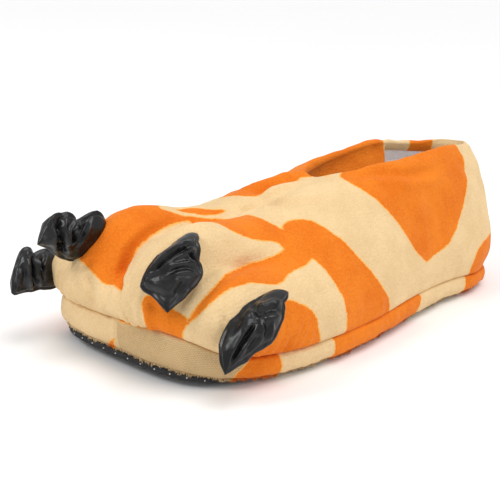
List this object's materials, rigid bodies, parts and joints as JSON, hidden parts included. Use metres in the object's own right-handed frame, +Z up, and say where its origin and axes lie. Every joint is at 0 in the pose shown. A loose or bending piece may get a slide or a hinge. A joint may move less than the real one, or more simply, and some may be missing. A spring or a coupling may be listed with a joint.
{
  "type": "plush slipper",
  "caption": "Closed plush slipper in the form of a clawed animal's foot, with stuffed toes, stuffed claws and a soft anti-slip sole; it warms and covers the wearer's left foot indoors.",
  "frame": {"origin": "on the floor under the middle of the sole", "axes": "+Z up, +Y from toe to heel, +X towards the wearer's left, which is the outer side of this left shoe"},
  "size_m": [0.1554, 0.3222, 0.0915],
  "materials": {
    "dotted_sole": "matt black knit with small clear grip dots",
    "cream_plush": "short-pile cream plush, printed orange in places",
    "orange_plush": "short-pile plush printed in orange and cream patches",
    "white_fleece": "white fleece",
    "black_vinyl": "glossy black imitation leather"
  },
  "bodies": {
    "root": {"outsole": "dotted_sole", "midsole": "cream_plush", "insole": "white_fleece", "upper": "orange_plush", "claw_outer": "black_vinyl", "claw_outer_middle": "black_vinyl", "claw_inner_middle": "black_vinyl", "claw_inner": "black_vinyl"}
  },
  "joints": []
}
